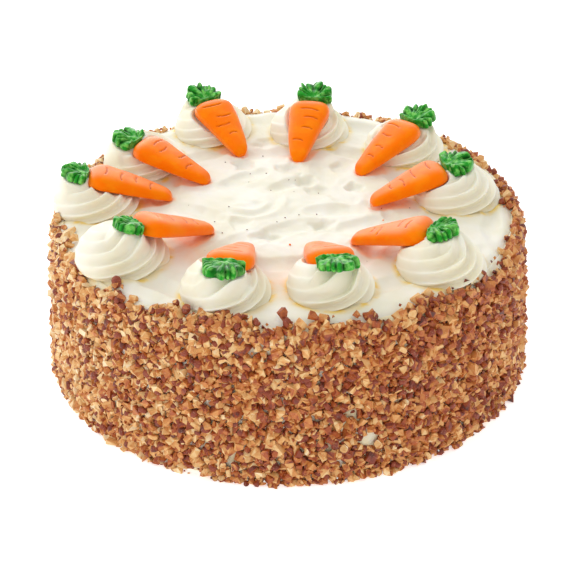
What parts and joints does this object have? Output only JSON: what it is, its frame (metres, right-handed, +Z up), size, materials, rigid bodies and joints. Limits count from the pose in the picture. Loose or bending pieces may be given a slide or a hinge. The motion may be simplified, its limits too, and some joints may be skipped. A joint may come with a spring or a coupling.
{
  "type": "carrot cake",
  "caption": "Whole round carrot cake under white cream, its side coated with chopped nuts, with piped swirls round the rim and a marzipan carrot leaning from each swirl.",
  "frame": {"origin": "middle of the cake's base, on the surface it stands on", "axes": "+Z up; the front, with two carrots pointing straight in, faces -Y, with +X to its right"},
  "size_m": [0.2516, 0.2516, 0.1069],
  "materials": {
    "cream": "satin",
    "piped_cream": "satin",
    "chopped_nuts": "matte",
    "orange_marzipan": "satin",
    "green_marzipan": "satin"
  },
  "bodies": {
    "root": {"cake": "cream", "nut_coating": "chopped_nuts", "rosette_01": "piped_cream", "rosette_02": "piped_cream", "rosette_03": "piped_cream", "rosette_04": "piped_cream", "rosette_05": "piped_cream", "rosette_06": "piped_cream", "rosette_07": "piped_cream", "rosette_08": "piped_cream", "rosette_09": "piped_cream", "rosette_10": "piped_cream", "carrot_01": "orange_marzipan", "carrot_02": "orange_marzipan", "carrot_03": "orange_marzipan", "carrot_04": "orange_marzipan", "carrot_05": "orange_marzipan", "carrot_06": "orange_marzipan", "carrot_07": "orange_marzipan", "carrot_08": "orange_marzipan", "carrot_09": "orange_marzipan", "carrot_10": "orange_marzipan", "carrot_leaf_01": "green_marzipan", "carrot_leaf_02": "green_marzipan", "carrot_leaf_03": "green_marzipan", "carrot_leaf_04": "green_marzipan", "carrot_leaf_05": "green_marzipan", "carrot_leaf_06": "green_marzipan", "carrot_leaf_07": "green_marzipan", "carrot_leaf_08": "green_marzipan", "carrot_leaf_09": "green_marzipan", "carrot_leaf_10": "green_marzipan"}
  },
  "joints": []
}
